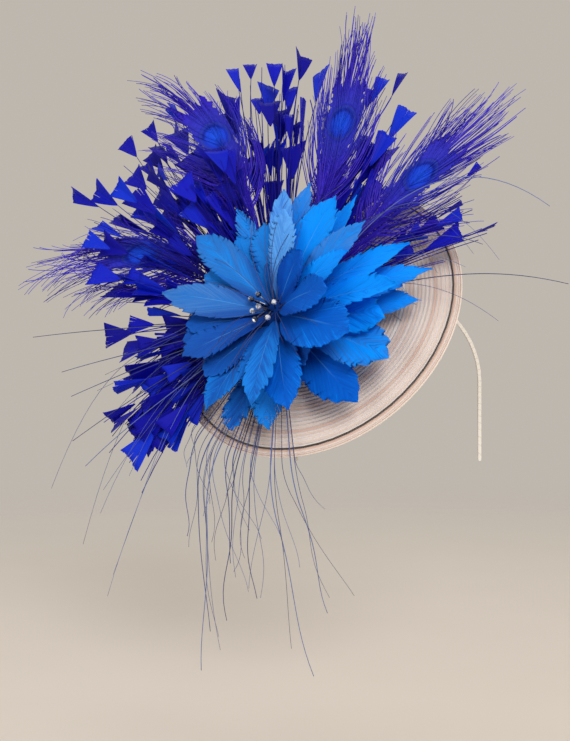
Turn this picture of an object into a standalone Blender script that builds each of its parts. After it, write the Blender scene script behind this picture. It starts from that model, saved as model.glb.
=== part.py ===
# Feather fascinator: a domed braid disc tilted on a satin headband, with a feather flower on a
# hub, stamens set with cut stones, peacock eye feathers, arrow cut sprays and trailing strands.
# Metres, +Z up. The origin is the inner top of the headband, where it sits on the head.
# The wearer faces -Y, and +X is the right hand side of the view from the front.
import bpy
from math import sin, cos, pi, radians, hypot, sqrt
from mathutils import Matrix, Vector

# Headband
band_inner_radius = 0.073
band_thickness = 0.0025
band_width = 0.005
band_leg = 0.063
band_arc_steps = 28
band_end_steps = 4

# Disc
disc_radius = 0.128
disc_thickness = 0.0012
disc_dome = 0.008
disc_turn = radians(31.2)
disc_rise = radians(29.4)
disc_shift = 0.013
disc_steps = 48
rim_wire_inset = 0.0065
rim_wire_radius = 0.0007
rim_wire_steps = 60

# Hub
hub_x = -0.022
hub_y = -0.008
hub_radius = 0.0175
hub_pad_height = 0.008
hub_cone_height = 0.0115
hub_top_radius = 0.005
hub_steps = 24
seat_gap = 0.0003

# Flower
petal_length = 0.100
petal_width = 0.032
petal_thickness = 0.0010
petal_quill = 0.0012
petal_cup = 0.12
petal_notch = 0.09
petal_level_step = 0.0015
petal_first_level = 0.0015
petal_root_gap = 0.0011

# Stamens
stamen_wire_radius = 0.0005
stone_radius = 0.0023
stone_table = 0.0013
stone_crown = 0.0010
stone_depth = 0.0012
stone_facets = 8
cup_radius = 0.0025
cup_length = 0.0030
cup_neck_share = 0.15
cup_shoulder_share = 0.55

# Plumes
plume_thickness = 0.0010
plume_root_gap = 0.0003
plume_bow = 0.03
plume_reach = 0.250
layer_behind = 0.0020
layer_middle = 0.0045
layer_front = 0.0070
layer_height = {"behind": layer_behind, "middle": layer_middle, "front": layer_front}
eye_half_width = 0.017
eye_lock_length = 0.100
eye_lock_width = 0.0042
eye_lock_tip = 0.0012
eye_lock_waver = 0.07
eye_top_lock = 0.9
eye_top_splay = radians(4)
eye_swing_from = 0.7
stem_width = 0.0012
spray_pitch = 0.0016
spray_root_depth = 0.004
arrow_length = 0.023
arrow_width = 0.017

# Strands
strand_width = 0.0011
strand_length = 0.200
strand_lean = radians(-3.5)
strand_knee = 0.15
strand_rim_clearance = 0.003

# Petals: level counts rings of roots from the foot of the cone, turn is round the flower from
# the disc's right, lift is off the disc, both in degrees. Length and width are shares of
# petal_length and petal_width, blunt is 0 for a pointed tip and 1 for a broad one, and arch is
# how many degrees the quill bends down from root to tip.
petal_table = (
    # level, turn, lift, length, width, blunt, arch
    (0, 4, 2, 1.10, 0.85, 0.1, 10),
    (1, 12, 8, 1.27, 0.85, 0.0, 14),
    (2, 20, 14, 1.18, 0.80, 0.0, 16),
    (4, 33, 24, 1.00, 0.85, 0.1, 18),
    (1, 54, 17, 1.00, 0.60, 0.0, 10),
    (3, 61, 24, 0.94, 1.20, 0.3, 16),
    (1, 83, 21, 0.97, 0.65, 0.2, 12),
    (2, 92, 27, 0.90, 0.65, 0.4, 8),
    (1, 117, 23, 0.88, 0.60, 0.4, 6),
    (5, 80, 33, 0.74, 0.80, 0.3, 4),
    (4, 142, 27, 0.87, 0.92, 0.4, 12),
    (4, 180, 27, 0.86, 0.98, 0.0, 10),
    (4, 227, 24, 0.76, 0.95, 1.0, 10),
    (2, 254, 12, 0.93, 0.95, 0.2, 12),
    (0, 268, 3, 0.92, 0.90, 0.9, 8),
    (1, 284, 6, 1.00, 0.80, 0.9, 8),
    (4, 286, 19, 1.06, 0.85, 0.1, 16),
    (3, 297, 13, 1.06, 1.05, 0.3, 14),
    (0, 319, 3, 1.10, 1.15, 0.6, 10),
    (1, 339, 6, 1.12, 1.25, 0.9, 10),
    (2, 353, 10, 0.98, 1.05, 0.8, 10),
    (4, 334, 20, 0.98, 1.45, 0.5, 22),
    (3, 358, 17, 1.16, 0.85, 0.2, 16),
    (6, 353, 33, 0.80, 1.05, 0.4, 20),
    (5, 20, 27, 0.84, 0.90, 0.3, 20),
    (6, 46, 38, 0.46, 0.90, 0.5, 16),
)

# Outline of a petal: share of its length, half width of a pointed one and of a broad one.
petal_outline = (
    (0.00, 0.04, 0.04),
    (0.12, 0.24, 0.20),
    (0.26, 0.58, 0.46),
    (0.40, 0.88, 0.70),
    (0.52, 0.96, 0.80),
    (0.64, 1.00, 0.95),
    (0.75, 0.86, 1.00),
    (0.85, 0.62, 0.96),
    (0.94, 0.34, 0.78),
    (1.00, 0.06, 0.40),
)

# Stamens: where each stone sits, in shares of stamen_reach from the flower's axis and above the
# disc, and whether it faces the front.
stamen_reach = 0.030
stamen_spread = 0.35
stamen_table = (
    # x, y, height, faces front
    (-0.59, 0.10, 1.00, False),
    (-0.36, 0.22, 1.06, False),
    (-0.15, -0.22, 1.10, True),
    (-0.37, -0.30, 1.00, True),
    (-0.25, -0.60, 0.98, False),
    (0.18, -0.52, 1.00, True),
    (0.25, -0.05, 1.02, True),
)

# Peacock feathers: turn and lift in degrees, the eye's distance as a share of plume_reach, how
# far the herls past the eye swing round, in degrees, and how wide the locks splay, as a share.
eye_table = (
    # turn, lift, reach, swing, spread
    (157, 15, 0.528, 17, 0.90),
    (116, 15, 0.692, 12, 1.00),
    (78, 13, 0.628, 5, 0.90),
    (48, 7, 0.572, -2, 1.00),
)

# Rows up a peacock feather: share of the eye's distance, half width as a share of
# eye_half_width, and the lock that grows between this row and the next: its length as a share
# of eye_lock_length and its splay in degrees.
eye_rows = (
    (0.00, 0.05, 0.00, 0),
    (0.25, 0.05, 0.00, 0),
    (0.46, 0.07, 0.80, 40),
    (0.60, 0.20, 0.84, 35),
    (0.73, 0.50, 0.86, 30),
    (0.85, 0.85, 0.90, 24),
    (0.97, 1.00, 0.95, 17),
    (1.08, 0.92, 1.00, 10),
    (1.18, 0.55, 0.00, 0),
)

# Sprays of arrow cut feathers: each has its layer and where its roots are centred, in degrees,
# then a row for each feather: turn, lift, reach as a share of plume_reach, and its size as a
# share of arrow_length.
spray_table = {
    "arrow_spray_right": ("behind", 32, (
        (22, 4, 0.688, 1.10),
        (29, 6, 0.600, 0.95),
        (34, 4, 0.620, 0.85),
        (38, 6, 0.728, 0.65),
    )),
    "arrow_spray_upper_right": ("behind", 68, (
        (63, 8, 0.500, 1.10),
        (66, 11, 0.632, 1.15),
        (68, 8, 0.752, 1.25),
        (70, 11, 0.852, 0.95),
        (73, 8, 0.452, 1.15),
        (75, 11, 0.824, 1.00),
        (78, 8, 0.808, 0.95),
        (82, 11, 0.740, 1.10),
    )),
    "arrow_spray_top": ("behind", 108, (
        (96, 12, 0.944, 1.25),
        (101, 9, 0.848, 1.05),
        (103, 12, 0.928, 1.00),
        (106, 9, 0.888, 1.15),
        (108, 12, 0.980, 0.80),
        (112, 9, 1.032, 1.20),
        (115, 12, 0.892, 1.30),
    )),
    "arrow_spray_upper_left": ("front", 128, (
        (119, 21, 0.600, 1.15),
        (123, 18, 0.632, 1.30),
        (127, 21, 0.448, 1.15),
        (131, 18, 0.528, 1.25),
        (135, 21, 0.576, 1.25),
        (139, 18, 0.720, 1.20),
    )),
    "arrow_spray_upper_left_back": ("behind", 143, (
        (126, 11, 0.984, 1.10),
        (130, 8, 0.944, 1.15),
        (133, 11, 0.984, 1.00),
        (136, 8, 0.912, 1.20),
        (139, 11, 1.000, 0.95),
        (143, 8, 0.904, 1.20),
    )),
    "arrow_spray_left": ("front", 166, (
        (149, 21, 0.736, 1.20),
        (152, 18, 0.820, 1.25),
        (156, 21, 0.848, 1.05),
        (161, 18, 0.728, 1.20),
        (167, 21, 0.712, 1.20),
        (172, 18, 0.512, 1.15),
        (176, 21, 0.620, 1.25),
    )),
    "arrow_spray_lower_left": ("behind", 189, (
        (182, 11, 0.416, 1.05),
        (186, 8, 0.512, 1.15),
        (191, 11, 0.568, 1.10),
        (197, 8, 0.452, 1.10),
    )),
    "arrow_spray_low": ("behind", 219, (
        (209, 11, 0.476, 1.15),
        (213, 8, 0.532, 1.10),
        (217, 11, 0.360, 1.00),
        (221, 8, 0.600, 1.25),
        (227, 11, 0.436, 1.10),
    )),
}

# Strands that arch out and droop: turn and lift in degrees, then reach, droop and the height of
# the arch as shares of strand_length.
arching_strands = {
    "right_strands": ("middle", 14, (
        (16, 4, 1.11, 0.22, 0.03),
        (25, 9, 0.83, 0.13, 0.10),
        (27, 7, 1.11, 0.14, 0.25),
    )),
    "left_strands": ("front", 208, (
        (190, 18, 0.98, 0.06, 0.00),
        (201, 16, 0.84, 0.06, 0.00),
        (208, 16, 0.80, 0.08, 0.00),
        (222, 16, 0.83, 0.10, 0.00),
        (232, 15, 0.83, 0.10, 0.00),
    )),
}

# Strands that run over the rim and hang: turn in degrees, the hanging length as a share of
# strand_length, and how far the strand drifts sideways as it hangs, as a share of that.
hanging_strands = ("middle", 268, (
    (244, 0.44, -0.10),
    (251, 0.78, 0.05),
    (257, 0.90, 0.00),
    (262, 0.46, 0.12),
    (267, 0.66, -0.05),
    (273, 0.56, 0.02),
    (281, 0.86, 0.25),
    (289, 0.62, 0.30),
))

# Unit vectors of the disc: right, up and outward.
disc_normal = Vector((-sin(disc_turn) * cos(disc_rise), -cos(disc_turn) * cos(disc_rise), sin(disc_rise)))
disc_right = Vector((cos(disc_turn), -sin(disc_turn), 0.0))
disc_up = disc_normal.cross(disc_right)


def clear_scene():
    for obj in list(bpy.data.objects):
        bpy.data.objects.remove(obj, do_unlink=True)


def finish(name, colour, roughness, metallic=0.0):
    material = bpy.data.materials.new(name)
    material.use_nodes = True
    shader = material.node_tree.nodes["Principled BSDF"]
    shader.inputs["Base Color"].default_value = (*colour, 1.0)
    shader.inputs["Roughness"].default_value = roughness
    shader.inputs["Metallic"].default_value = metallic
    material.diffuse_color = (*colour, 1.0)
    return material


def add_object(name, data, material, collection, parent=None):
    data.materials.append(material)
    obj = bpy.data.objects.new(name, data)
    collection.objects.link(obj)
    obj.parent = parent
    return obj


def surface(name, points, faces, wall, material, collection, parent):
    # An open sheet of faces that gets its wall from Solidify, half to each side.
    mesh = bpy.data.meshes.new(name)
    mesh.from_pydata([tuple(p) for p in points], [], faces)
    obj = add_object(name, mesh, material, collection, parent)
    solidify = obj.modifiers.new("Wall", "SOLIDIFY")
    solidify.thickness = wall
    solidify.offset = 0.0
    return obj


def turned(name, profile, steps, material, collection, parent):
    # A profile of (radius, height) points, from the axis at the top round to the axis below.
    mesh = bpy.data.meshes.new(name)
    mesh.from_pydata([(r, 0.0, z) for r, z in profile], [(i, i + 1) for i in range(len(profile) - 1)], [])
    obj = add_object(name, mesh, material, collection, parent)
    screw = obj.modifiers.new("Turn", "SCREW")
    screw.steps = steps
    screw.render_steps = steps
    screw.use_merge_vertices = True
    screw.merge_threshold = 0.00005
    return obj


def dome_height(radius):
    # Height of the disc's outer face at this distance from its middle.
    return -disc_dome * (radius / disc_radius) ** 2


def disc_frame():
    # The middle of the disc's outer face lies off the point where the band carries the disc.
    flat = hypot(disc_normal.x, disc_normal.z)
    band_outer_radius = band_inner_radius + band_thickness
    rest = Vector((disc_normal.x, 0.0, disc_normal.z)) * (band_outer_radius / flat)
    rest.z -= band_inner_radius
    lift = disc_thickness + seat_gap + abs(disc_normal.y) * band_width / 2 - dome_height(disc_shift)
    middle = rest - disc_right * disc_shift + disc_normal * lift
    frame = Matrix((disc_right, disc_up, disc_normal)).transposed().to_4x4()
    frame.translation = middle
    return frame


def add_guide(name, matrix, collection):
    guide = bpy.data.objects.new(name, None)
    guide.matrix_world = matrix
    guide.empty_display_size = 0.02
    collection.objects.link(guide)
    return guide


def build_headband(collection):
    # One flat outline in the band's plane, extruded to the band's width.
    outer_radius = band_inner_radius + band_thickness
    end_radius = band_thickness / 2
    middle_radius = band_inner_radius + end_radius
    outline = []
    for i in range(band_arc_steps + 1):
        angle = pi * i / band_arc_steps
        outline.append((outer_radius * cos(angle), outer_radius * sin(angle)))
    for i in range(band_end_steps + 1):
        angle = pi + pi * i / band_end_steps
        outline.append((-middle_radius + end_radius * cos(angle), -band_leg + end_radius * sin(angle)))
    for i in range(band_arc_steps + 1):
        angle = pi - pi * i / band_arc_steps
        outline.append((band_inner_radius * cos(angle), band_inner_radius * sin(angle)))
    for i in range(band_end_steps + 1):
        angle = pi + pi * i / band_end_steps
        outline.append((middle_radius + end_radius * cos(angle), -band_leg + end_radius * sin(angle)))
    curve = bpy.data.curves.new("headband", "CURVE")
    curve.dimensions = "2D"
    curve.fill_mode = "BOTH"
    curve.extrude = band_width / 2
    spline = curve.splines.new("POLY")
    spline.points.add(len(outline) - 1)
    for point, (x, y) in zip(spline.points, outline):
        point.co = (x, y, 0.0, 1.0)
    spline.use_cyclic_u = True
    satin = finish("ivory_satin", (0.80, 0.76, 0.70), 0.38)
    obj = add_object("headband", curve, satin, collection)
    obj.location = (0.0, 0.0, -band_inner_radius)
    obj.rotation_euler = (pi / 2, 0.0, 0.0)


def build_disc(collection, parent):
    shares = (0.0, 0.25, 0.45, 0.65, 0.82, 0.94, 1.0)
    top = [(disc_radius * s, dome_height(disc_radius * s)) for s in shares]
    under = [(r, z - disc_thickness) for r, z in reversed(top)]
    braid = finish("pale_braid", (0.74, 0.60, 0.52), 0.45)
    turned("crin_disc", top + under, disc_steps, braid, collection, parent)


def build_rim_wire(collection, parent):
    radius = disc_radius - rim_wire_inset
    slope = 2 * disc_dome * radius / disc_radius ** 2
    height = dome_height(radius) + (rim_wire_radius + seat_gap) * sqrt(1 + slope ** 2)
    curve = bpy.data.curves.new("rim_wire", "CURVE")
    curve.dimensions = "3D"
    curve.bevel_depth = rim_wire_radius
    curve.bevel_resolution = 1
    spline = curve.splines.new("POLY")
    spline.points.add(rim_wire_steps - 1)
    for i, point in enumerate(spline.points):
        angle = 2 * pi * i / rim_wire_steps
        point.co = (radius * cos(angle), radius * sin(angle), height, 1.0)
    spline.use_cyclic_u = True
    steel = finish("dark_wire", (0.10, 0.09, 0.09), 0.40, 0.8)
    add_object("rim_wire", curve, steel, collection, parent)


def hub_side(height):
    # Radius of the hub's cone at this height above the disc.
    rise = (height - seat_gap - hub_pad_height) / hub_cone_height
    return hub_radius + (hub_top_radius - hub_radius) * rise


def hub_top():
    return seat_gap + hub_pad_height + hub_cone_height


def build_hub(collection, parent):
    profile = (
        (0.0, hub_top()),
        (hub_top_radius, hub_top()),
        (hub_radius, seat_gap + hub_pad_height),
        (hub_radius, seat_gap),
        (0.0, seat_gap),
    )
    felt = finish("blue_felt", (0.02, 0.10, 0.42), 0.85)
    turned("flower_hub", profile, hub_steps, felt, collection, parent)


def arched_path(length, arch, shares):
    # Points (x, z) of a quill that bends evenly through the arch angle, its chord along x.
    half = arch / 2
    radius = length / (2 * sin(half))
    angles = [half - arch * share for share in shares]
    return [(radius * (sin(half) - sin(angle)), radius * (cos(angle) - cos(half))) for angle in angles]


def build_petal(name, row, material, collection, parent):
    level, turn, lift, length, width, blunt, arch = row
    height = seat_gap + hub_pad_height + petal_first_level + petal_level_step * level
    shares = [station[0] for station in petal_outline]
    path = arched_path(petal_length * length, radians(arch), shares)
    points = []
    for i, ((_, pointed, broad), (x, z)) in enumerate(zip(petal_outline, path)):
        notch = petal_notch * (-1) ** i if 2 < i < len(petal_outline) - 1 else 0.0
        half = max(petal_width * width / 2 * (pointed + (broad - pointed) * blunt + notch), petal_quill / 2)
        points += [(x, half, z + petal_cup * half), (x, 0.0, z), (x, -half, z + petal_cup * half)]
    faces = []
    for i in range(len(petal_outline) - 1):
        a = 3 * i
        faces += [(a, a + 1, a + 4, a + 3), (a + 1, a + 2, a + 5, a + 4)]
    obj = surface(name, points, faces, petal_thickness, material, collection, parent)
    root = hub_side(height) + petal_root_gap
    obj.location = (root * cos(radians(turn)), root * sin(radians(turn)), height)
    obj.rotation_euler = (0.0, -radians(lift), radians(turn))


def build_flower(collection, parent):
    goose = finish("azure_goose_feather", (0.04, 0.24, 0.75), 0.55)
    for number, row in enumerate(petal_table, 1):
        build_petal(f"petal_{number:02d}", row, goose, collection, parent)


def hermite(start, start_pull, end, end_pull, steps):
    points = []
    for i in range(steps + 1):
        t = i / steps
        a = 2 * t ** 3 - 3 * t ** 2 + 1
        b = t ** 3 - 2 * t ** 2 + t
        c = 3 * t ** 2 - 2 * t ** 3
        d = t ** 3 - t ** 2
        points.append(start * a + start_pull * b + end * c + end_pull * d)
    return points


def build_stamens(collection, parent):
    wire = finish("silver_cup", (0.35, 0.36, 0.40), 0.30, 1.0)
    crystal = finish("clear_stone", (0.85, 0.88, 0.92), 0.05)
    to_front = Vector((-disc_right.y, -disc_up.y, -disc_normal.y))
    for number, (x, y, height, faces_front) in enumerate(stamen_table, 1):
        head = Vector((x, y, height)) * stamen_reach
        inward = min(1.0, hypot(x, y) / stamen_spread)
        foot_side = Vector((x, y, 0.0)).normalized() * (hub_top_radius - 2 * stamen_wire_radius) * inward
        foot = foot_side + Vector((0.0, 0.0, hub_top() + seat_gap))
        out = (head - foot).normalized()
        axis = to_front if faces_front else (out + foot_side.normalized()).normalized()
        base = head - axis * (cup_length + stone_depth)
        bend = (base - foot).length
        path = hermite(foot, Vector((0.0, 0.0, bend)), base, axis * bend, 6)
        curve = bpy.data.curves.new(f"stamen_{number}", "CURVE")
        curve.dimensions = "3D"
        curve.bevel_depth = stamen_wire_radius
        curve.bevel_resolution = 1
        curve.use_fill_caps = True
        spline = curve.splines.new("POLY")
        flare = cup_radius / stamen_wire_radius
        rings = [(p, 1.0) for p in path]
        rings.append((base + axis * cup_length * cup_neck_share, flare * cup_shoulder_share))
        rings.append((base + axis * cup_length * cup_shoulder_share, flare))
        rings.append((base + axis * cup_length, flare))
        spline.points.add(len(rings) - 1)
        for point, (place, scale) in zip(spline.points, rings):
            point.co = (*place, 1.0)
            point.radius = scale
        add_object(f"stamen_{number}", curve, wire, collection, parent)
        profile = (
            (0.0, stone_crown),
            (stone_table, stone_crown),
            (stone_radius, 0.0),
            (stone_table, seat_gap - stone_depth),
            (0.0, seat_gap - stone_depth),
        )
        stone = turned(f"stone_{number}", profile, stone_facets, crystal, collection, parent)
        stone.location = head
        stone.rotation_euler = axis.to_track_quat("Z", "Y").to_euler()


def lift_direction(turn, lift):
    return Vector((cos(lift) * cos(turn), cos(lift) * sin(turn), sin(lift)))


def build_eye_feather(name, row, material, collection, parent):
    turn, lift, reach_share, swing, spread = row
    reach = plume_reach * reach_share
    points = []
    faces = []
    edges = []
    for share, half, _, _ in eye_rows:
        first = len(points)
        x = reach * share
        edge = max(eye_half_width * half, stem_width / 2)
        points += [(x, edge), (x, 0.0), (x, -edge)]
        edges.append((first, first + 2))
        if first:
            faces += [(first - 3, first - 2, first + 1, first), (first - 2, first - 1, first + 2, first + 1)]
    for i, (_, _, lock, splay) in enumerate(eye_rows[:-1]):
        if not lock:
            continue
        for side in (0, 1):
            sign = 1 - 2 * side
            low, high = edges[i][side], edges[i + 1][side]
            middle = (Vector(points[low]) + Vector(points[high])) / 2
            along = Vector((cos(radians(splay * spread)), sign * sin(radians(splay * spread))))
            across = Vector((abs(along.y), -sign * along.x))
            waver = 1 + eye_lock_waver * sin(2.4 * i + 1.7 * side)
            length = eye_lock_length * lock * waver
            last = (low, high)
            for part, wide in ((0.5, eye_lock_width), (1.0, eye_lock_tip)):
                place = middle + along * length * part
                new = (len(points), len(points) + 1)
                points += [tuple(place - across * wide / 2), tuple(place + across * wide / 2)]
                quad = (last[0], last[1], new[1], new[0])
                faces.append(quad[::-1] if side else quad)
                last = new
    top = len(eye_rows) * 3 - 3
    for side in (0, 1):
        a, b = (top, top + 1) if side == 0 else (top + 1, top + 2)
        sign = 1 - 2 * side
        middle = (Vector(points[a]) + Vector(points[b])) / 2
        along = Vector((cos(eye_top_splay), sign * sin(eye_top_splay)))
        across = Vector((-along.y, along.x))
        last = (a, b)
        for part, wide in ((0.5, eye_lock_width), (1.0, eye_lock_tip)):
            place = middle + along * eye_lock_length * eye_top_lock * part
            new = (len(points), len(points) + 1)
            points += [tuple(place + across * wide / 2), tuple(place - across * wide / 2)]
            faces.append((last[0], last[1], new[1], new[0]))
            last = new
    bent = []
    for x, y in points:
        along = x / reach
        round_by = radians(swing) * max(0.0, along - eye_swing_from)
        z = plume_bow * reach * along * (2 - along)
        bent.append((x * cos(round_by) - y * sin(round_by), x * sin(round_by) + y * cos(round_by), z))
    obj = surface(name, bent, faces, plume_thickness, material, collection, parent)
    root = hub_radius + plume_root_gap
    obj.location = (root * cos(radians(turn)), root * sin(radians(turn)), layer_height["middle"])
    obj.rotation_euler = (0.0, -radians(lift), radians(turn))


def build_eye_feathers(collection, parent):
    peacock = finish("violet_peacock", (0.09, 0.03, 0.46), 0.50)
    for number, row in enumerate(eye_table, 1):
        build_eye_feather(f"peacock_feather_{number}", row, peacock, collection, parent)


def build_comb(name, layer, centre, fingers, material, collection, parent):
    # Fingers on one bound root that lies along the hub's foot. A finger is a list of
    # (place, across, half width) sections, the first of them on the root's outer edge.
    height = layer_height[layer]
    inner = hub_radius + plume_root_gap
    outer = inner + spray_root_depth
    pitch = spray_pitch / inner
    start = radians(centre) - pitch * (len(fingers) - 1) / 2
    points = []
    columns = []
    for j in range(len(fingers)):
        for edge in (-1, 1):
            angle = start + pitch * j + edge * stem_width / 2 / outer
            columns.append((len(points), len(points) + 1))
            for radius in (inner, outer):
                points.append((radius * cos(angle), radius * sin(angle), height))
    faces = []
    for (a, b), (c, d) in zip(columns, columns[1:]):
        faces.append((a, b, d, c))
    for j, sections in enumerate(fingers):
        last = (columns[2 * j][1], columns[2 * j + 1][1])
        for place, across, half in sections:
            new = (len(points), len(points) + 1)
            points += [tuple(place - across * half), tuple(place + across * half)]
            faces.append((last[0], new[0], new[1], last[1]))
            last = new
    surface(name, points, faces, plume_thickness, material, collection, parent)


def root_place(layer, centre, count, j):
    # Where finger j leaves its root band.
    inner = hub_radius + plume_root_gap
    outer = inner + spray_root_depth
    angle = radians(centre) + spray_pitch / inner * (j - (count - 1) / 2)
    return Vector((outer * cos(angle), outer * sin(angle), layer_height[layer]))


def across_of(direction, up=Vector((0.0, 0.0, 1.0))):
    return up.cross(direction).normalized()


def build_arrow_sprays(collection, parent):
    coque = finish("ultramarine_feather", (0.03, 0.015, 0.42), 0.45)
    for name, (layer, centre, rows) in spray_table.items():
        fingers = []
        for j, (turn, lift, reach_share, size) in enumerate(rows):
            reach = plume_reach * reach_share
            root = root_place(layer, centre, len(rows), j)
            tip = lift_direction(radians(turn), radians(lift)) * reach
            tip += Vector((cos(radians(turn)), sin(radians(turn)), 0.0)) * hub_radius
            tip.z += layer_height[layer]
            span = tip - root
            across = across_of(span)
            flare = 1 - arrow_length * size / span.length
            stem = stem_width / 2
            sections = []
            for share, half in ((flare * 0.5, stem), (flare, stem), (1.0, arrow_width * size / 2)):
                bow = Vector((0.0, 0.0, plume_bow * reach * 4 * share * (1 - share)))
                sections.append((root + span * share + bow, across, half))
            fingers.append(sections)
        build_comb(name, layer, centre, fingers, coque, collection, parent)


def build_arching_strands(collection, parent):
    herl = finish("violet_herl", (0.10, 0.07, 0.30), 0.55)
    down = Vector((-disc_right.z, -disc_up.z, -disc_normal.z))
    for name, (layer, centre, rows) in arching_strands.items():
        fingers = []
        for j, (turn, lift, reach, droop, arch) in enumerate(rows):
            root = root_place(layer, centre, len(rows), j)
            way = lift_direction(radians(turn), radians(lift))
            across = across_of(way)
            sections = []
            for share in (0.15, 0.3, 0.45, 0.6, 0.75, 0.9, 1.0):
                fall = down * strand_length * (droop * share ** 2 - 4 * arch * share * (1 - share))
                place = root + way * (strand_length * reach * share) + fall
                sections.append((place, across, strand_width / 2))
            fingers.append(sections)
        build_comb(name, layer, centre, fingers, herl, collection, parent)


def rim_reach(way, start):
    # Distance along way, from start, to just past the disc's edge.
    x = start.x + hub_x
    y = start.y + hub_y
    edge = disc_radius + strand_rim_clearance
    along = x * way.x + y * way.y
    flat = way.x ** 2 + way.y ** 2
    return (-along + sqrt(along ** 2 - flat * (x ** 2 + y ** 2 - edge ** 2))) / flat


def build_hanging_strands(collection, parent):
    herl = finish("hanging_herl", (0.12, 0.13, 0.33), 0.55)
    down = Vector((-disc_right.z, -disc_up.z, -disc_normal.z))
    side = Vector((disc_right.x, disc_up.x, disc_normal.x))
    layer, centre, rows = hanging_strands
    fingers = []
    for j, (turn, hang, drift) in enumerate(rows):
        root = root_place(layer, centre, len(rows), j)
        way = lift_direction(radians(turn), strand_lean)
        over = rim_reach(way, root)
        fall = (down + side * drift).normalized()
        hung = strand_length * hang
        bend = hung * strand_knee
        edge = root + way * over
        knee = edge + way * bend
        below = knee + fall * bend
        places = [root + way * over * share for share in (0.35, 0.7, 1.0)]
        places.append(edge * 0.25 + knee * 0.5 + below * 0.25)
        places += [below + fall * (hung - 2 * bend) * share for share in (0.0, 0.5, 1.0)]
        fingers.append([(place, across_of(way), strand_width / 2) for place in places])
    build_comb("hanging_strands", layer, centre, fingers, herl, collection, parent)


def build():
    clear_scene()
    collection = bpy.data.collections.new("fascinator")
    bpy.context.scene.collection.children.link(collection)
    frame = disc_frame()
    disc = add_guide("disc_guide", frame, collection)
    flower = add_guide("flower_guide", frame @ Matrix.Translation((hub_x, hub_y, 0.0)), collection)
    build_headband(collection)
    build_disc(collection, disc)
    build_rim_wire(collection, disc)
    build_hub(collection, flower)
    build_flower(collection, flower)
    build_stamens(collection, flower)
    build_eye_feathers(collection, flower)
    build_arrow_sprays(collection, flower)
    build_arching_strands(collection, flower)
    build_hanging_strands(collection, flower)


build()
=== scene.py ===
# Feather fascinator: the dressed model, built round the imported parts.
# Metres, +Z up. Lengths and angles are the same as the parts', angles in degrees.
from math import atan, cos, hypot, pi, radians, sin
import bpy
import numpy as np
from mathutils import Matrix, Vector


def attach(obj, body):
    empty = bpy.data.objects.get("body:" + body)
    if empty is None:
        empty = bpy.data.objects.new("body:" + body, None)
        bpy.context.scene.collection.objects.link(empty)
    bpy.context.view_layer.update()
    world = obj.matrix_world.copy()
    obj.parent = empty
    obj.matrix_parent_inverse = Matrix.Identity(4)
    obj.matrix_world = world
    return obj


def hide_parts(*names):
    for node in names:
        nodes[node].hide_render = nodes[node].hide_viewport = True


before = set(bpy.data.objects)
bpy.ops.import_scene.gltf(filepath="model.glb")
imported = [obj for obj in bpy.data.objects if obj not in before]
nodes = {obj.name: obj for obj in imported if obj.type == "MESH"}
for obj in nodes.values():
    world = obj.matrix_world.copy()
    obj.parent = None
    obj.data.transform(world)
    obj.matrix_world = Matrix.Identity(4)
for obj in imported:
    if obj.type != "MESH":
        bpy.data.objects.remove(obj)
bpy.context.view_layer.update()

band = {"innerRadius": 0.073, "thickness": 0.0025, "width": 0.005, "wrapPitch": 0.0045}
disc = {
    "radius": 0.128, "thickness": 0.0012, "dome": 0.008, "turn": 31.2, "rise": 29.4, "shift": 0.013,
    "rowPitch": 0.0032, "rowStep": 0.00025, "wall": 0.0006, "beadRadius": 0.0009, "columns": 180,
    "eyelet": 0.0002,
}
hub = {"x": -0.022, "y": -0.008, "radius": 0.0175, "pad": 0.008, "cone": 0.0115, "top": 0.005}
seatGap = 0.0003
layerHeight = {"behind": 0.0020, "middle": 0.0045, "front": 0.0070}


# Shader nodes
class Value:
    # A socket that takes part in arithmetic: every operator adds one Math node.
    def __init__(self, finish, socket):
        self.finish = finish
        self.socket = socket

    def math(self, operation, *others):
        inputs = {0: self, **{i: other for i, other in enumerate(others, 1)}}
        return self.finish.add("ShaderNodeMath", {"operation": operation}, inputs)

    def __add__(self, other):
        return self.math("ADD", other)

    def __sub__(self, other):
        return self.math("SUBTRACT", other)

    def __mul__(self, other):
        return self.math("MULTIPLY", other)

    def __pow__(self, other):
        return self.math("POWER", other)

    def __abs__(self):
        return self.math("ABSOLUTE")

    def __rsub__(self, other):
        return self * -1 + other

    __radd__ = __add__
    __rmul__ = __mul__

    def rise(self, low, high):
        # 0 below low, 1 above high and a smooth step between.
        inputs = {"Value": self, "From Min": low, "From Max": high}
        return self.finish.add("ShaderNodeMapRange", {"interpolation_type": "SMOOTHSTEP"}, inputs)


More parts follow.
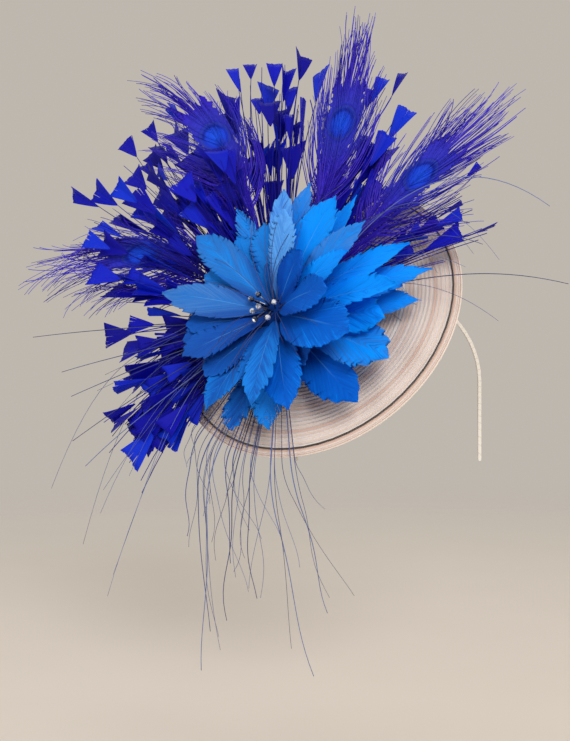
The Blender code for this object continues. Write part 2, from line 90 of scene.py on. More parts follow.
class Finish:
    # One material: a Principled shader with its fixed numbers, and the nodes that feed it.
    def __init__(self, name, **sockets):
        self.material = bpy.data.materials.new(name)
        self.material.use_nodes = True
        self.tree = self.material.node_tree
        self.shader = self.tree.nodes["Principled BSDF"]
        for key, value in sockets.items():
            self.put(self.shader.inputs[key.replace("_", " ")], value)

    def put(self, socket, value):
        if isinstance(value, Value):
            self.tree.links.new(value.socket, socket)
        else:
            socket.default_value = value

    def add(self, kind, settings=None, inputs=None, output=0):
        node = self.tree.nodes.new(kind)
        for key, value in (settings or {}).items():
            if key == "stops":
                elements = node.color_ramp.elements
                while len(elements) < len(value):
                    elements.new(1.0)
                for element, (place, colour) in zip(elements, value):
                    element.position = place
                    element.color = (*colour, 1.0)
            else:
                setattr(node, key, value)
        for key, value in (inputs or {}).items():
            self.put(node.inputs[key], value)
        return Value(self, node.outputs[output])

    def mix(self, factor, first, second):
        # The first colour at factor 0 and the second at 1.
        first, second = [c if isinstance(c, Value) else (*c, 1.0) for c in (first, second)]
        return self.add("ShaderNodeMix", {"data_type": "RGBA"}, {0: factor, 6: first, 7: second}, 2)

    def ramp(self, factor, stops):
        return self.add("ShaderNodeValToRGB", {"stops": stops}, {"Fac": factor})

    def lie(self):
        # The piece's own two coordinates.
        uv = self.add("ShaderNodeUVMap", {"uv_map": "lie"})
        return [self.add("ShaderNodeSeparateXYZ", None, {0: uv}, axis) for axis in (0, 1)]

    def place(self):
        # Where a point lies in the object, in metres.
        return self.add("ShaderNodeTexCoord", None, None, "Object")

    def tone(self):
        # The number from 0 to 1 that each feather, herl or strand carries.
        return self.add("ShaderNodeAttribute", {"attribute_name": "tone"}, None, "Fac")

    def vector(self, x, y, z=0.0):
        return self.add("ShaderNodeCombineXYZ", None, {0: x, 1: y, 2: z})

    def noise(self, vector, scale=1.0, detail=2.0):
        return self.add("ShaderNodeTexNoise", None, {"Vector": vector, "Scale": scale, "Detail": detail}, 0)

    def chance(self, number):
        # A random number from 0 to 1, the same wherever the given one is.
        return self.add("ShaderNodeTexWhiteNoise", {"noise_dimensions": "1D"}, {"W": number}, 0)

    def finishWith(self, bump=None, distance=None, **sockets):
        # Plugs in what changes over the surface. A bump comes with its distance.
        for key, value in sockets.items():
            self.put(self.shader.inputs[key.replace("_", " ")], value)
        if bump is not None:
            inputs = {"Height": bump, "Distance": distance, "Strength": 0.6}
            self.put(self.shader.inputs["Normal"], self.add("ShaderNodeBump", None, inputs))
        return self.material


# Meshes
def gridQuads(rows, columns, wrap=False):
    # Corners of each cell of a grid whose point (i, j) has index i * columns + j.
    i, j = np.meshgrid(np.arange(rows - 1), np.arange(columns if wrap else columns - 1), indexing="ij")
    after = (j + 1) % columns
    corners = (i * columns + j, (i + 1) * columns + j, (i + 1) * columns + after, i * columns + after)
    return np.stack(corners, axis=-1).reshape(-1, 4)


def unit(vectors):
    # Each vector over its own length.
    return vectors / np.maximum(np.linalg.norm(vectors, axis=-1, keepdims=True), 1e-12)


def repeated(points, faces, uvs, tone):
    # One part of as many copies as points has rows, each with the same faces and a tone of its own.
    count, size = len(points), points[0].size // 3
    quads = (np.arange(count)[:, None, None] * size + faces).reshape(-1, 4)
    tones = np.broadcast_to(np.asarray(tone)[:, None], (count, size)).reshape(-1)
    return points.reshape(-1, 3), quads, uvs.reshape(-1, 2), tones


def sheets(grid, wall, uv, tone, smooth=None):
    # Closed thin shells: each grid of points moved half the wall to both sides along its normal,
    # which is the cross product of its two directions, with a strip of faces round its border.
    count, rows, columns = grid.shape[:3]
    form = grid if smooth is None else smooth
    normal = unit(np.cross(np.gradient(form, axis=1), np.gradient(form, axis=2)))
    points = np.stack((grid + normal * wall / 2, grid - normal * wall / 2), axis=1)
    top = gridQuads(rows, columns)
    size = rows * columns
    index = np.arange(size).reshape(rows, columns)
    border = np.concatenate((index[:-1, 0], index[-1, :-1], index[:0:-1, -1], index[0, :0:-1]))
    ahead = np.roll(border, -1)
    rim = np.stack((ahead, border, border + size, ahead + size), axis=-1)
    faces = np.concatenate((top, top[:, ::-1] + size, rim))
    return repeated(points, faces, np.broadcast_to(uv[:, None], (count, 2, rows, columns, 2)), tone)


def strips(paths, width, depth, tone, uv=None, up=(0.0, 0.0, 1.0)):
    # Thin bars: a rectangle width by depth carried along each path, flat against up, with end caps.
    count, steps = paths.shape[:2]
    along = unit(np.gradient(paths, axis=1))
    side = unit(np.cross(np.broadcast_to(up, paths.shape), along))
    lift = np.cross(along, side)
    across = np.asarray(width)[..., None, None] * side[:, :, None] * np.array((1, -1, -1, 1))[:, None] / 2
    above = np.asarray(depth)[..., None, None] * lift[:, :, None] * np.array((1, 1, -1, -1))[:, None] / 2
    points = paths[:, :, None] + across + above
    j = np.arange(4)
    ring = np.arange(steps - 1)[:, None] * 4
    after = (j + 1) % 4
    walls = np.stack((ring + j, ring + after, ring + 4 + after, ring + 4 + j), axis=-1).reshape(-1, 4)
    faces = np.concatenate((walls, [(3, 2, 1, 0)], [tuple((steps - 1) * 4 + j)]))
    if uv is None:
        share = np.broadcast_to(np.linspace(0, 1, steps), (count, steps))
        uv = np.stack((np.broadcast_to(np.asarray(tone)[:, None], (count, steps)), share), axis=-1)
    return repeated(points, faces, np.broadcast_to(uv[:, :, None], (count, steps, 4, 2)), tone)


def joined(parts):
    # Several parts as one: their lists end to end, each part's corners counted on from the last.
    starts = np.cumsum([0] + [len(part[0]) for part in parts])
    quads = np.concatenate([part[1] + start for part, start in zip(parts, starts)])
    points, uvs, tones = [np.concatenate([part[which] for part in parts]) for which in (0, 2, 3)]
    return points, quads, uvs, tones


def addPiece(name, part, material, replaced, uvCorners=None):
    # uvCorners names other coordinates than the points' own, where a piece closes on itself.
    points, quads, uvs, tones = part
    mesh = bpy.data.meshes.new(name)
    mesh.vertices.add(len(points))
    mesh.vertices.foreach_set("co", np.ascontiguousarray(points, dtype=np.float32).ravel())
    mesh.loops.add(quads.size)
    mesh.loops.foreach_set("vertex_index", quads.ravel().astype(np.int32))
    mesh.polygons.add(len(quads))
    mesh.polygons.foreach_set("loop_start", np.arange(0, quads.size, 4, dtype=np.int32))
    mesh.update(calc_edges=True)
    mesh.polygons.foreach_set("use_smooth", np.ones(len(quads), dtype=bool))
    corners = quads if uvCorners is None else uvCorners
    layer = mesh.uv_layers.new(name="lie")
    layer.uv.foreach_set("vector", uvs[corners.ravel()].astype(np.float32).ravel())
    toneLayer = mesh.attributes.new("tone", "FLOAT", "POINT")
    toneLayer.data.foreach_set("value", tones.astype(np.float32))
    mesh.materials.append(material)
    obj = bpy.data.objects.new(name, mesh)
    bpy.context.scene.collection.objects.link(obj)
    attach(obj, "root")
    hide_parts(*replaced)


# Where things are
turn, rise = radians(disc["turn"]), radians(disc["rise"])
outward = np.array((-sin(turn) * cos(rise), -cos(turn) * cos(rise), sin(rise)))
rightward = np.array((cos(turn), -sin(turn), 0.0))
upward = np.cross(outward, rightward)
discAxes = np.stack((rightward, upward, outward))


def domeHeight(radius):
    # The disc's top falls with the square of the radius.
    return -disc["dome"] * (radius / disc["radius"]) ** 2


def discMiddle():
    # The disc rests on the band's outside, shifted along its own left.
    rest = np.array((outward[0], 0.0, outward[2])) * (band["innerRadius"] + band["thickness"])
    rest = rest / hypot(outward[0], outward[2]) - (0.0, 0.0, band["innerRadius"])
    lift = disc["thickness"] + seatGap + abs(outward[1]) * band["width"] / 2 - domeHeight(disc["shift"])
    return rest - rightward * disc["shift"] + outward * lift


middle = discMiddle()


def onDisc(points):
    # From the disc's own axes, with z off its face, to the frame.
    return middle + points @ discAxes


def onFlower(points):
    # The same from the flower's middle.
    return onDisc(points + (hub["x"], hub["y"], 0.0))


def raised(points, turned, lift, radius, height):
    # Tips x up by lift, turns it round the flower and moves the root out to radius.
    x, y, z = points[..., 0], points[..., 1], points[..., 2]
    ahead = x * cos(lift) - z * sin(lift) + radius
    up = x * sin(lift) + z * cos(lift) + height
    right = ahead * cos(turned) - y * sin(turned)
    return np.stack((right, ahead * sin(turned) + y * cos(turned), up), axis=-1)


def hubSide(height):
    # The cone's radius at a height over the disc.
    return hub["radius"] + (hub["top"] - hub["radius"]) * (height - seatGap - hub["pad"]) / hub["cone"]


def smoothTable(shares, table, column, width=0.06):
    # A table's column read at these shares, its corners rounded by an average over width.
    xs = [row[0] for row in table]
    ys = [row[column] for row in table]
    offsets = np.linspace(-width / 2, width / 2, 9)
    return np.mean([np.interp(np.clip(shares + o, 0, 1), xs, ys) for o in offsets], axis=0)


# Braid disc
braid = Finish("paleBraid", Roughness=0.42, Specular_IOR_Level=0.4)
around, outOf = braid.lie()
rowCount = disc["radius"] / disc["rowPitch"]
rows = outOf * rowCount
rowShare = rows.math("FRACT")
rowNumber = rows.math("FLOOR")
rowTone = braid.chance(rowNumber)
edgeThread = 1 - rowShare.math("PINGPONG", 0.5).rise(0.06, 0.20)
patch = braid.noise(braid.vector(around * 26, outOf * 12), 1.0, 3.0)
weaveA = (around * 900 + rows * 2.5).math("PINGPONG", 0.5) * 2
weaveB = (around * 900 - rows * 2.5).math("PINGPONG", 0.5) * 2
threads = weaveA.math("MAXIMUM", weaveB).rise(0.45, 0.9)
fineLine = (rows * 4).math("PINGPONG", 0.5) * 2
rowColour = braid.ramp(rowTone * 0.75 + patch * 0.3, (
    (0.05, (0.66, 0.42, 0.33)), (0.35, (0.78, 0.58, 0.48)),
    (0.65, (0.85, 0.72, 0.63)), (0.95, (0.94, 0.88, 0.81)),
))
halfTone = braid.chance((rows * 3).math("FLOOR"))
rowColour = braid.mix(halfTone.rise(0.55, 0.75) * 0.55, rowColour, (0.97, 0.92, 0.86))
rowColour = braid.mix(edgeThread * 0.8, rowColour, (0.98, 0.93, 0.87))
rowColour = braid.mix(fineLine * 0.20, rowColour, (0.52, 0.34, 0.27))
# Painted shadow: a few rows carry thin dark lines where shade falls across the disc.
shadowRow = (rowTone * 0.5 + patch * 0.5).rise(0.60, 0.74) * edgeThread
rowColour = braid.mix(shadowRow * 0.6, rowColour, (0.16, 0.12, 0.10))
cover = threads * 0.14 + edgeThread * 0.20 + 0.78
braidMaterial = braid.finishWith(
    Base_Color=rowColour, Alpha=cover.math("MINIMUM", 1.0), bump=threads + fineLine, distance=0.00015,
)


def braidDisc():
    # A profile of stepped rows, each lapping the row inside it, turned round the disc's axis, with
    # a round bead at the edge: height = dome - step * share of the row.
    pitch, wall, step = disc["rowPitch"], disc["wall"], disc["rowStep"]
    shares = np.array((0.02, 0.35, 0.7, 0.98))
    radii = (np.arange(int(disc["radius"] / pitch))[:, None] + shares) * pitch
    heights = (domeHeight(radii) - step * shares).ravel()
    radii = radii.ravel()
    radii[0] = disc["eyelet"]
    bead = disc["beadRadius"]
    angles = np.radians(np.linspace(135, -135, 7))
    beadMiddle = domeHeight(disc["radius"]) - step - wall / 2
    radii = np.concatenate((radii, disc["radius"] - bead + bead * np.cos(angles), radii[::-1]))
    heights = np.concatenate((heights, beadMiddle + bead * np.sin(angles), heights[::-1] - wall))
    angle = np.linspace(0, 2 * pi, disc["columns"], endpoint=False)
    points = np.stack((
        radii[:, None] * np.cos(angle), radii[:, None] * np.sin(angle),
        np.broadcast_to(heights[:, None], (len(radii), len(angle))),
    ), axis=-1)
    count, columns = len(radii), disc["columns"]
    quads = gridQuads(count, columns, wrap=True)
    wide = columns + 1
    share = np.broadcast_to((radii / disc["radius"])[:, None], (count, wide))
    uvs = np.stack((np.broadcast_to(np.arange(wide) / columns, (count, wide)), share), axis=-1).reshape(-1, 2)
    tones = np.zeros(count * columns)
    part = (onDisc(points).reshape(-1, 3), quads, uvs, tones)
    return part, gridQuads(count, wide)


discPart, discCorners = braidDisc()
addPiece("braid_disc", discPart, braidMaterial, ["crin_disc"], uvCorners=discCorners)
print("disc done")


# Flower petals
petal = {
    "length": 0.100, "width": 0.032, "wall": 0.00035, "cup": 0.12, "quill": 0.0012, "rootGap": 0.0011,
    "firstLevel": 0.0015, "levelStep": 0.0015, "toothDepth": 0.0024, "teeth": 14, "barbAngle": 62,
    "bend": 0.06, "twist": 0.26, "wave": 0.0018, "pleat": 0.0004, "pleats": 6, "barbSlant": 2.5,
    "uneven": 0.16, "fullDepthFrom": 0.010,
    "toothStations": (0.0, 0.25, 0.6, 0.86),
    "halfStations": (0.045, 0.16, 0.38, 0.6, 0.8, 0.93, 1.0),
}
# Tone is partly each petal's own dye and partly painted shade: petals low on the left that lie in shadow have
# lower tones.
petalRows = (  # level, turn, lift, length, width, blunt, arch, tone, fringe
    (0, 4, 2, 1.10, 0.85, 0.1, 10, 0.62, 0.1),
    (1, 12, 8, 1.27, 0.85, 0.0, 14, 0.62, 0.2),
    (2, 20, 14, 1.18, 0.80, 0.0, 16, 0.50, 0.1),
    (4, 33, 24, 1.00, 0.85, 0.1, 18, 0.72, 0.1),
    (1, 54, 17, 1.00, 0.60, 0.0, 10, 0.58, 0.2),
    (3, 61, 24, 0.94, 1.20, 0.3, 16, 0.56, 0.1),
    (1, 83, 21, 0.97, 0.65, 0.2, 12, 0.74, 0.2),
    (2, 92, 27, 0.90, 0.65, 0.4, 8, 0.92, 0.1),
    (1, 117, 23, 0.88, 0.60, 0.4, 6, 0.72, 0.9),
    (5, 80, 33, 0.74, 0.80, 0.3, 4, 1.00, 0.4),
    (4, 142, 27, 0.87, 0.92, 0.4, 12, 0.70, 0.1),
    (4, 180, 27, 0.86, 0.98, 0.0, 10, 0.82, 0.0),
    (4, 227, 24, 0.76, 0.95, 1.0, 10, 0.10, 0.1),
    (2, 254, 12, 0.93, 0.95, 0.2, 12, 0.30, 0.1),
    (0, 268, 3, 0.92, 0.90, 0.9, 8, 0.30, 0.9),
    (1, 284, 6, 1.00, 0.80, 0.9, 8, 0.50, 1.0),
    (4, 286, 19, 1.06, 0.85, 0.1, 16, 0.36, 0.2),
    (3, 297, 13, 1.06, 1.05, 0.3, 14, 0.22, 0.1),
    (0, 319, 3, 1.10, 1.15, 0.6, 10, 0.18, 0.2),
    (1, 339, 6, 1.12, 1.25, 0.9, 10, 0.66, 0.3),
    (2, 353, 10, 0.98, 1.05, 0.8, 10, 0.40, 0.2),
    (4, 334, 20, 0.98, 1.45, 0.5, 22, 0.24, 0.1),
    (3, 358, 17, 1.16, 0.85, 0.2, 16, 0.45, 0.2),
    (6, 353, 33, 0.80, 1.05, 0.4, 20, 0.18, 0.1),
    (5, 20, 27, 0.84, 0.90, 0.3, 20, 0.50, 0.1),
    (6, 46, 38, 0.50, 1.10, 0.5, 16, 0.10, 0.0),
)
petalOutline = (  # share of the length, half width of a pointed petal and of a broad one
    (0.00, 0.10, 0.10), (0.12, 0.44, 0.40), (0.26, 0.74, 0.64), (0.40, 0.91, 0.80), (0.52, 0.98, 0.90),
    (0.62, 1.00, 0.97), (0.73, 0.90, 1.03), (0.83, 0.66, 0.98), (0.92, 0.34, 0.76), (1.00, 0.02, 0.22),
)


def petalSheet(number, row):
    # x and z follow an arc through the arch angle. y is the outline's half width times v from -1
    # to 1, and z rises with v squared. The edge steps out along the barbs and back once a tooth.
    # Twist, bend, waves and pleats are small sums on top, random or along the barbs.
    level, turned, lift, length, width, blunt, arch, tone, fringe = row
    random = np.random.default_rng(100 + number)
    teeth = petal["teeth"] + random.integers(-3, 4) + int(5 * fringe)
    stations = np.array(petal["toothStations"])
    pitch = random.uniform(0.3, 1.7, teeth + 1)
    starts = np.cumsum(pitch)[:-1] - pitch[0]
    share = np.append((starts[:, None] + pitch[1:, None] * stations).ravel(), starts[-1] + pitch[-1])
    share = share / pitch[1:].sum()
    halfAcross = np.array(petal["halfStations"])
    across = np.concatenate((-halfAcross[::-1], [0.0], halfAcross))
    pointed = smoothTable(share, petalOutline, 1)
    broad = smoothTable(share, petalOutline, 2)
    half = petal["width"] * width / 2 * (pointed + (broad - pointed) * blunt)
    half = np.maximum(half * (1 - share ** 24 * 0.8), petal["quill"] / 2)
    uneven = 1 + random.uniform(-petal["uneven"], petal["uneven"]) * np.sign(across)
    full = petal["length"] * length
    bow = radians(arch) / 2
    radius = full / (2 * sin(bow))
    angle = bow - 2 * bow * share
    x = radius * (sin(bow) - np.sin(angle))[:, None] + 0 * across
    y = half[:, None] * across * uneven
    z = (radius * (np.cos(angle) - cos(bow)))[:, None] + petal["cup"] * half[:, None] * across ** 2
    z = z + petal["twist"] * random.uniform(-1, 1) * y * share[:, None] ** 2
    phase = random.uniform(0, 2 * pi, 2)
    side = np.where(across > 0, phase[0], phase[1])
    z = z + petal["wave"] * across ** 2 * np.sin(9 * share[:, None] + side) * share[:, None]
    y = y + petal["bend"] * random.uniform(-1, 1) * full * share[:, None] ** 2
    rooted = share[:, None] - petal["barbSlant"] * np.abs(y) / full
    z = z + petal["pleat"] * np.sin(2 * pi * petal["pleats"] * rooted + 2 * side) * np.abs(across) ** 1.3
    smooth = np.stack((x, y, z), axis=-1)
    depth = petal["toothDepth"] * random.uniform(0.0, 1.0, (teeth, 2)) ** 0.7 * (1 + 0.8 * fringe)
    tipward = starts / starts[-1]
    depth = depth * (np.clip((tipward - 0.15) / 0.4, 0.1, 1.0) + 0.6 * tipward)[:, None]
    tooth = np.tile((stations / stations[-1]) ** 0.7, teeth)
    jut = np.repeat(depth, len(stations), axis=0) * (tooth[:, None] - 0.5)
    jut = np.append(jut, [[0.0, 0.0]], axis=0) * np.clip(half / petal["fullDepthFrom"], 0.0, 1.0)[:, None]
    reach = np.where(across > 0, jut[:, :1], jut[:, 1:]) * np.abs(across) ** 5
    barb = radians(petal["barbAngle"]) * (1 - 0.35 * share[:, None])
    grid = smooth.copy()
    grid[..., 0] += reach * np.cos(barb)
    grid[..., 1] += reach * np.sin(barb) * np.sign(across)
    uv = np.stack((rooted, 0 * x + across), axis=-1)
    height = seatGap + hub["pad"] + petal["firstLevel"] + petal["levelStep"] * level
    where = (radians(turned), radians(lift), hubSide(height) + petal["rootGap"], height)
    placed = [onFlower(raised(form, *where))[None] for form in (grid, smooth)]
    return sheets(placed[0], petal["wall"], uv[None], [tone], placed[1])


def gooseFinish(name, fray, paintedShade):
    # Barbs run slanted from the quill. Slits along them open towards the edge as fray grows, and
    # paintedShade is the share of painted shadow colour mixed in.
    goose = Finish(name, Roughness=0.65, Specular_IOR_Level=0.08)
    barbRoot, barbOut = goose.lie()
    lightness = goose.tone()
    outwards = abs(barbOut)
    sideSeed = barbOut.math("SIGN") * 3
    streak = goose.noise(goose.vector(barbRoot * 34, outwards * 1.4, lightness * 31 + sideSeed), 1.0, 3.0)
    fineBarb = goose.noise(goose.vector(barbRoot * 240, outwards * 2.0, lightness * 17), 1.0, 2.0)
    hairline = goose.noise(goose.vector(barbRoot * 80, outwards * 0.9, lightness * 43 + 5), 1.0, 1.0)
    # The outer barbs are painted a little lighter, a painted sheen.
    shade = lightness * 0.80 + (streak - 0.5) * 0.42 + outwards * 0.08
    colour = goose.ramp(shade, (
        (0.0, (0.000, 0.062, 0.42)), (0.25, (0.000, 0.115, 0.60)), (0.38, (0.000, 0.270, 1.00)),
        (0.52, (0.001, 0.285, 1.00)), (0.62, (0.018, 0.200, 0.70)), (0.72, (0.050, 0.220, 0.68)),
        (0.86, (0.100, 0.360, 0.85)),
    ))
    # Painted shade: the shaded petals mix in a dark shadow colour.
    colour = goose.mix(paintedShade, colour, (0.020, 0.055, 0.15))
    colour = goose.mix((fineBarb - 0.40) * 0.45, colour, (0.000, 0.050, 0.38))
    colour = goose.mix(hairline.rise(0.67, 0.72) * 0.45, colour, (0.000, 0.030, 0.24))
    quillLine = 1 - outwards.rise(0.010, 0.045)
    colour = goose.mix(quillLine * (1 - barbRoot.rise(0.45, 0.8)) * 0.35, colour, (0.10, 0.40, 0.90))
    # Painted shade: each petal darkens towards its root in the throat, where the petals overlap.
    throat = 1 - barbRoot.rise(-0.05, 0.30)
    colour = goose.mix(throat * 0.60, colour, (0.000, 0.030, 0.28))
    slit = goose.noise(goose.vector(barbRoot * 52, outwards * 0.5, lightness * 29 + sideSeed), 1.0, 1.0)
    opensAt = 0.94 - 0.16 * fray
    opened = (slit + outwards * 0.16 + barbRoot * 0.14 * fray).rise(opensAt, opensAt + 0.015)
    relief = fineBarb * 0.8 + streak * 0.8 + quillLine * 1.2
    return goose.finishWith(Base_Color=colour, Alpha=1 - opened, bump=relief, distance=0.00035)


gooseMaterials = {  # frayed or not, then with painted shade or not
    (False, False): gooseFinish("azureGoose", 0.1, 0.0),
    (True, False): gooseFinish("azureGooseFrayed", 1.0, 0.0),
    (False, True): gooseFinish("azureGooseShaded", 0.1, 0.32),
    (True, True): gooseFinish("azureGooseFrayedShaded", 1.0, 0.35),
}
# Petals 11 to 17 are darkened with painted shade.
shadedPetals = range(11, 18)
underRows = (  # the same columns: short feathers that fill the gaps round the throat
    (1, 160, 25, 0.60, 1.00, 0.4, 14, 0.66, 0.2),
    (1, 200, 24, 0.62, 1.05, 0.4, 12, 0.20, 0.2),
    (1, 212, 20, 0.66, 1.00, 0.4, 12, 0.10, 0.3),
    (1, 240, 17, 0.66, 0.95, 0.5, 12, 0.20, 0.3),
    (2, 270, 14, 0.64, 0.95, 0.4, 10, 0.30, 0.2),
    (2, 310, 14, 0.66, 1.10, 0.4, 12, 0.22, 0.2),
    (2, 66, 23, 0.70, 1.00, 0.3, 12, 0.60, 0.3),
    (2, 104, 25, 0.66, 0.95, 0.3, 10, 0.62, 0.3),
    (2, 128, 26, 0.64, 0.95, 0.3, 12, 0.60, 0.3),
)
underPetals = joined([petalSheet(60 + number, row) for number, row in enumerate(underRows)])
# The under petals are darkened with painted shade.
addPiece("under_petals", underPetals, gooseMaterials[False, True], [])
for number, row in enumerate(petalRows, 1):
    finish = gooseMaterials[row[8] > 0.5, number in shadedPetals]  # column 8 is the fringe
    sheet = petalSheet(number, row)
    addPiece(f"petal_feather_{number:02d}", sheet, finish, [f"petal_{number:02d}"])
print("petals done")


# Peacock feathers
eye = {
    "halfWidth": 0.0175, "bow": 0.03, "swingFrom": 0.7,
    "wall": 0.0005, "fray": 0.22, "cut": 0.012, "hollow": 0.35, "rise": 0.0006, "rows": 110, "columns": 33,
    "stem": 0.0012, "stemEnd": 0.93, "stemSteps": 24, "stemRise": 0.0007,
    "herlLength": 0.100, "herlWidth": 0.00068, "herlDepth": 0.0003, "steps": 18, "members": 3,
    "closing": 2.5, "fanStray": 0.07, "wave": 0.13, "waviness": 6, "herlStray": 0.06, "depthStray": 0.004,
    "high": {"clumps": 64, "roots": (0.50, 1.12), "length": (1.04, 0.98), "opening": 44},
    "low": {"clumps": 44, "roots": (0.05, 0.58), "length": (0.62, 0.90), "endAngles": (4, 12)},
}
eyeRows = (  # turn, lift, reach, swing, lean, end angle of the high herls, curl, opening of the low ones
    (157, 15, 0.132, 17, 5, 24, 0.80, 60),
    (116, 15, 0.173, 12, 9, 28, 0.25, 16),
    (78, 13, 0.157, 5, 0, 12, 0.15, 16),
    (48, 7, 0.143, -2, -2, 32, 0.22, 16),
)
eyeOutline = (  # share of the distance to the eye's middle, share of the eye's half width
    (0.00, 0.035), (0.30, 0.035), (0.50, 0.06), (0.62, 0.20), (0.73, 0.52), (0.85, 0.86), (0.97, 1.00),
    (1.08, 1.02), (1.17, 1.04), (1.26, 0.92),
)


def ontoPlume(x, y, above, row):
    # Swings the part past the swing's start round the root, bows it and raises it off the disc.
    turned, lift, reach, swing = row[:4]
    along = x / reach
    angle = radians(swing) * np.maximum(0.0, along - eye["swingFrom"])
    z = eye["bow"] * reach * along * (2 - along) + above
    aside = x * np.sin(angle) + y * np.cos(angle)
    bent = np.stack((x * np.cos(angle) - y * np.sin(angle), aside, z), axis=-1)
    side = hub["radius"] + seatGap
    return onFlower(raised(bent, radians(turned), radians(lift), side, layerHeight["middle"]))


def eyeCoordinates(x, y, row):
    # Up and across from the eye's middle, in half widths.
    return np.stack(((x - row[2]) / eye["halfWidth"], y / eye["halfWidth"]), axis=-1)


def eyeVane(row, random):
    # A flat oval: x along the stem and y across it, half width from the outline, frayed at its sides and
    # cut back by a random depth at its end.
    reach = row[2]
    share = np.linspace(0.0, eyeOutline[-1][0], eye["rows"])
    xs = [station[0] for station in eyeOutline]
    half = np.interp(share, xs, [station[1] for station in eyeOutline]) * eye["halfWidth"]
    across = np.linspace(-1, 1, eye["columns"])
    fray = 1 - eye["fray"] * random.random((len(share), 2))
    fray = np.where(across > 0, fray[:, :1], fray[:, 1:])
    cut = eye["cut"] * random.random(len(across)) * (share[:, None] / share[-1]) ** 14
    x = reach * share[:, None] + eye["hollow"] * half[:, None] * across ** 2 - cut
    y = half[:, None] * across * (1 - (1 - fray) * across ** 4)
    grid = ontoPlume(x, y, eye["rise"] * across ** 2, row)
    return sheets(grid[None], eye["wall"], eyeCoordinates(x, y, row)[None], [0.5])


def herls(row, random, clumps, roots, length, opening, endAngles):
    # A clump's line leaves the stem at its opening angle, which falls as (1 - t) ** closing to the
    # end angle, and is the running sum of its steps. Its herls close up on it towards the tip.
    reach, lean = row[2], radians(row[4])
    t = np.linspace(0, 1, eye["steps"])
    count = clumps * eye["members"]
    own = np.arange(count) // eye["members"]
    up = np.sort(random.random(clumps))
    side = np.where(np.arange(clumps) % 2, 1.0, -1.0)
    end = np.radians(endAngles[0] + (endAngles[1] - endAngles[0]) * up)
    end = end + random.normal(0, eye["fanStray"], clumps) + side * lean
    wide = np.radians(opening * (1.20 - 1.10 * up ** 1.5)) * random.uniform(0.8, 1.2, clumps)
    wave = random.normal(0, eye["wave"], (clumps, 1))
    wave = wave * np.sin(eye["waviness"] * t + random.uniform(0, 6, (clumps, 1))) * t
    curl = random.normal(0, row[6], (clumps, 1)) * t ** 3
    angle = end[:, None] + wide[:, None] * (1 - t) ** eye["closing"] + wave + curl
    stretch = eye["herlLength"] * (length[0] + (length[1] - length[0]) * up)
    stretch = stretch * random.uniform(0.76, 1.0, clumps)
    pace = stretch[own, None] * random.uniform(0.80, 1.0, (count, 1)) / (len(t) - 1)
    root = (roots[0] + (roots[1] - roots[0]) * up)[own] + random.normal(0, 0.012, count)
    angle = angle[own] + random.normal(0, eye["herlStray"], (count, 1)) * (1 - 1.3 * t)
    x = root[:, None] * reach + np.cumsum(np.cos(angle), axis=1) * pace - np.cos(angle[:, :1]) * pace
    y = side[own, None] * (np.cumsum(np.sin(angle), axis=1) * pace - np.sin(angle[:, :1]) * pace)
    above = random.normal(0, eye["depthStray"], (clumps, 1))[own] * t ** 1.5
    above = above + random.uniform(-0.0004, 0.0010, (count, 1))
    width = eye["herlWidth"] * (1.2 - 0.6 * t) * random.uniform(0.7, 1.2, (count, 1))
    depth = eye["herlDepth"] * (1 - 0.5 * t) + 0 * width
    tone = np.clip(random.random(clumps)[own] * 0.7 + random.random(count) * 0.3, 0, 1)
    return strips(ontoPlume(x, y, above, row), width, depth, tone, eyeCoordinates(x, y, row), outward)


def peacockFeather(number, row):
    # The eye's vane, a stem that tapers to it, and the herls of its upper and lower half.
    random = np.random.default_rng(500 + number)
    x = np.linspace(0, eye["stemEnd"], eye["stemSteps"])[None] * row[2]
    stem = ontoPlume(x, 0 * x, eye["stemRise"], row)
    taper = eye["stem"] * np.linspace(1.1, 0.4, eye["stemSteps"])[None]
    return joined([
        eyeVane(row, random),
        strips(stem, taper, taper * 0.8, [0.1], eyeCoordinates(x, 0 * x, row), outward),
        herls(row, random, endAngles=(row[5], 0), **eye["high"]),
        herls(row, random, opening=row[7], **eye["low"]),
    ])


peacock = Finish("violetPeacock", Roughness=0.55, Specular_IOR_Level=0.12)
upEye, sideEye = peacock.lie()
lightness = peacock.tone()
fromEye = (upEye * upEye * 0.72 + sideEye * sideEye) ** 0.5
rib = peacock.noise(peacock.vector(fromEye * 26, sideEye * 0.7, lightness * 9), 1.0, 2.0)
ringColour = peacock.ramp(fromEye, (
    (0.00, (0.008, 0.088, 0.80)), (0.48, (0.008, 0.052, 0.64)), (0.58, (0.007, 0.032, 0.54)),
    (0.66, (0.012, 0.036, 0.50)), (0.76, (0.026, 0.046, 0.38)), (0.82, (0.016, 0.020, 0.46)),
    (0.90, (0.028, 0.036, 0.52)), (1.00, (0.030, 0.032, 0.50)),
))
farColour = peacock.ramp(lightness, (
    (0.0, (0.008, 0.003, 0.18)), (0.5, (0.028, 0.012, 0.50)), (1.0, (0.085, 0.050, 0.66)),
))
peacockColour = peacock.mix(fromEye.rise(1.0, 2.3), ringColour, farColour)
peacockColour = peacock.mix((rib - 0.42) * 1.4, peacockColour, (0.006, 0.003, 0.14))
crescent = upEye.rise(0.10, 0.30) * (1 - abs(fromEye - 0.58).rise(0.02, 0.12))
peacockColour = peacock.mix(crescent * 0.5, peacockColour, (0.002, 0.002, 0.12))
peacockMaterial = peacock.finishWith(Base_Color=peacockColour, bump=rib, distance=0.0003)

for number, row in enumerate(eyeRows, 1):
    plume = peacockFeather(number, row)
    replaced = [f"peacock_feather_{number}"]
    addPiece(f"peacock_plume_{number}", plume, peacockMaterial, replaced)
print("peacock feathers done")


